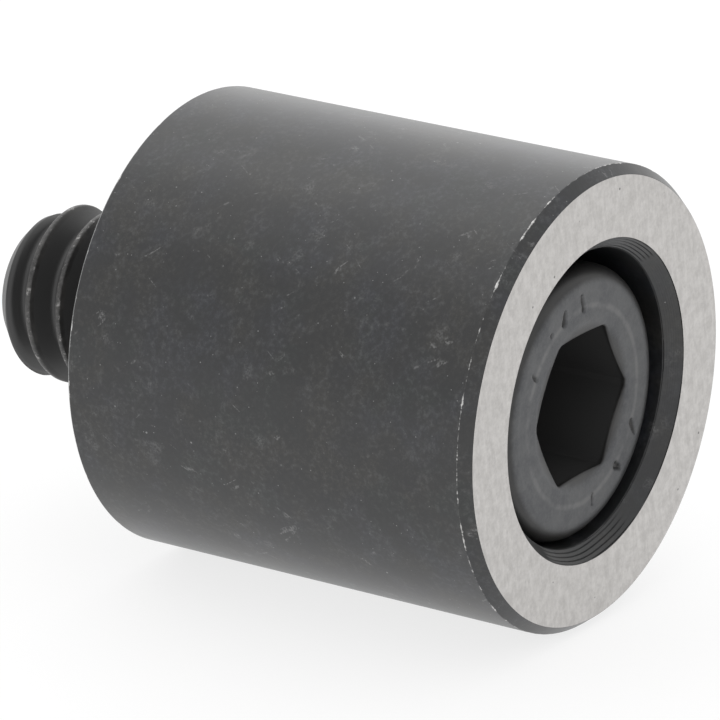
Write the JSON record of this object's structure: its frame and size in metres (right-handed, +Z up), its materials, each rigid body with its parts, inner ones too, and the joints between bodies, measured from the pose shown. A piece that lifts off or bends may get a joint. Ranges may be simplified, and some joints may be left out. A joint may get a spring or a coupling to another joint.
{
  "type": "screw-mounted rest pad",
  "caption": "Cylindrical black steel pad with a ground flat end face, counterbored for the loose socket head cap screw that fastens it to a fixture.",
  "frame": {"origin": "centre of the pad's flat seat, on the pad's own axis", "axes": "+Y out of the seat, along the screw towards the thread's tip; -Y out of the working face; +Z up with the pad lying on its side"},
  "size_m": [0.0158, 0.0228, 0.0158],
  "materials": {
    "pad_steel": "black oxide on a turned surface, with the working face ground bright",
    "screw_steel": "satin black oxide"
  },
  "bodies": {
    "pad": {"pad_body": "pad_steel"},
    "screw": {"cap_screw": "screw_steel"}
  },
  "joints": [
    {"name": "screw_turn", "type": "hinge", "parent": "pad", "child": "screw", "pos_m": [0, 0, -0.00027], "axis": [0, 1, 0], "continuous": true}
  ]
}
